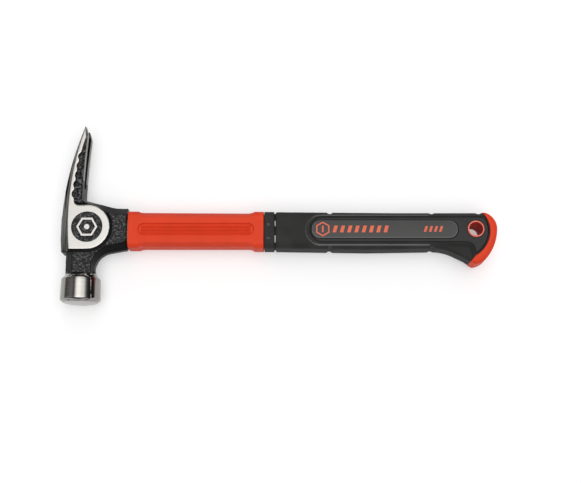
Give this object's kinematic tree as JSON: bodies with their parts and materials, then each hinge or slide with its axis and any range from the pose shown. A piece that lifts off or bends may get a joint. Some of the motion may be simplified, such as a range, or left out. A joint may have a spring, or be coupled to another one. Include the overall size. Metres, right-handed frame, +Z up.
{
  "type": "claw hammer",
  "caption": "Rip claw hammer with a forged steel head, round bell, straight slotted claw, fibreglass-cored jacketed handle and soft moulded grip with a hang hole.",
  "frame": {"origin": "middle of the hammer's footprint, lying on its side, at the height of its lowest point", "axes": "+X along the handle from the head to the butt, +Y towards the claw, +Z up out of the upper cheek"},
  "size_m": [0.3463, 0.1438, 0.0322],
  "materials": {
    "forged_steel": "forged black with ground and polished lands, bell and claws",
    "epoxy": "cast, flush with the crown",
    "fibreglass": "pultruded, cut end",
    "red_jacket": "satin moulded",
    "soft_black": "matt soft-touch",
    "hard_black": "fine-textured moulded",
    "label_black": "satin plate with a printed orange motif"
  },
  "bodies": {
    "root": {"hammer_head": "forged_steel", "eye_epoxy": "epoxy", "handle_core": "fibreglass", "shaft_jacket": "red_jacket", "grip_front_ring": "soft_black", "soft_grip": "soft_black", "side_panel_left": "hard_black", "side_panel_right": "hard_black", "label_plate_left": "label_black", "label_plate_right": "label_black", "butt_cap": "red_jacket", "hang_bush": "red_jacket"}
  },
  "joints": []
}
